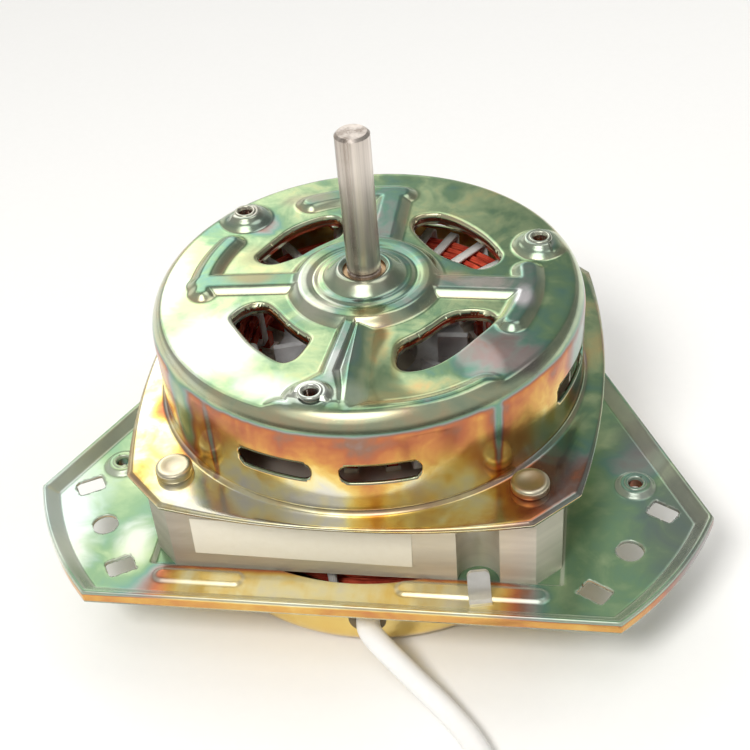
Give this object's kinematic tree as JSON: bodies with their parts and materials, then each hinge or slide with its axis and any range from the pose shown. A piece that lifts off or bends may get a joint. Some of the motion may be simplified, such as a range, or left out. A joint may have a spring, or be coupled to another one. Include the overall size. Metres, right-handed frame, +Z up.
{
  "type": "washing machine spin motor",
  "caption": "Spin motor for a twin tub washing machine: drawn zinc plated covers round a square stator stack on a lobed base plate, with an upright shaft and a lead cable.",
  "frame": {"origin": "on the shaft axis, on the upper face of the base plate's floor", "axes": "+Z up the shaft towards its free end, -Y towards the side with the label and the cable, +X to the right seen from there"},
  "size_m": [0.2277, 0.2959, 0.1397],
  "materials": {
    "yellow_zinc": "yellow iridescent zinc passivate on drawn sheet steel",
    "lamination_steel": "stacked electrical steel sheets, light oil film",
    "rotor_laminations": "turned electrical steel sheets",
    "cast_aluminium": "dull cast aluminium",
    "ground_steel": "bright ground shaft steel",
    "spring_steel": "dark spring steel",
    "washer_plastic": "natural engineering plastic",
    "sintered_bronze": "oil soaked sintered bronze",
    "pressed_steel": "plain pressed steel",
    "oil_felt": "oil soaked wool felt",
    "enamelled_wire": "dark red varnished enamelled copper wire",
    "lacing_tape": "white woven tying tape",
    "slot_paper": "pale insulating paper",
    "plated_steel": "pale yellow zinc plate",
    "bare_foil": "plain pale foil with no print",
    "tinned_steel": "bright tin plate",
    "grommet_rubber": "black rubber",
    "tie_plastic": "natural nylon",
    "cable_sheath": "white flexible sheath",
    "live_core": "brown wire insulation",
    "start_core": "black wire insulation",
    "common_core": "blue wire insulation",
    "tinned_copper": "tinned copper strand",
    "splice_sleeve": "white varnished sleeving"
  },
  "bodies": {
    "housing": {"base_plate": "yellow_zinc", "cable_coil": "cable_sheath", "cable_grommet": "grommet_rubber", "cable_tie": "tie_plastic", "common_tail": "common_core", "earth_tab": "tinned_steel", "inner_leads": "live_core", "lead_cable": "cable_sheath", "lead_splices": "splice_sleeve", "live_tail": "live_core", "lower_bearing": "sintered_bronze", "lower_bearing_cup": "pressed_steel", "lower_cover": "yellow_zinc", "lower_lacing": "lacing_tape", "lower_oil_felt": "oil_felt", "lower_winding_head": "enamelled_wire", "rating_label": "bare_foil", "slot_conductors": "enamelled_wire", "slot_liners": "slot_paper", "slot_wedges": "slot_paper", "spring_washers": "spring_steel", "start_tail": "start_core", "stator_core": "lamination_steel", "tail_tips": "tinned_copper", "through_bolts": "plated_steel", "through_nuts": "plated_steel", "thrust_pad": "washer_plastic", "top_cover": "yellow_zinc", "upper_bearing": "sintered_bronze", "upper_bearing_cup": "pressed_steel", "upper_lacing": "lacing_tape", "upper_oil_felt": "oil_felt", "upper_winding_head": "enamelled_wire"},
    "rotor": {"lower_thrust_washers": "washer_plastic", "oil_slinger": "washer_plastic", "rotor_cage": "cast_aluminium", "rotor_core": "rotor_laminations", "shaft": "ground_steel", "shaft_circlips": "spring_steel", "upper_thrust_washers": "washer_plastic"}
  },
  "joints": [
    {"name": "rotor_spin", "type": "hinge", "parent": "housing", "child": "rotor", "pos_m": [0, 0, 0], "axis": [0, 0, 1], "continuous": true}
  ]
}
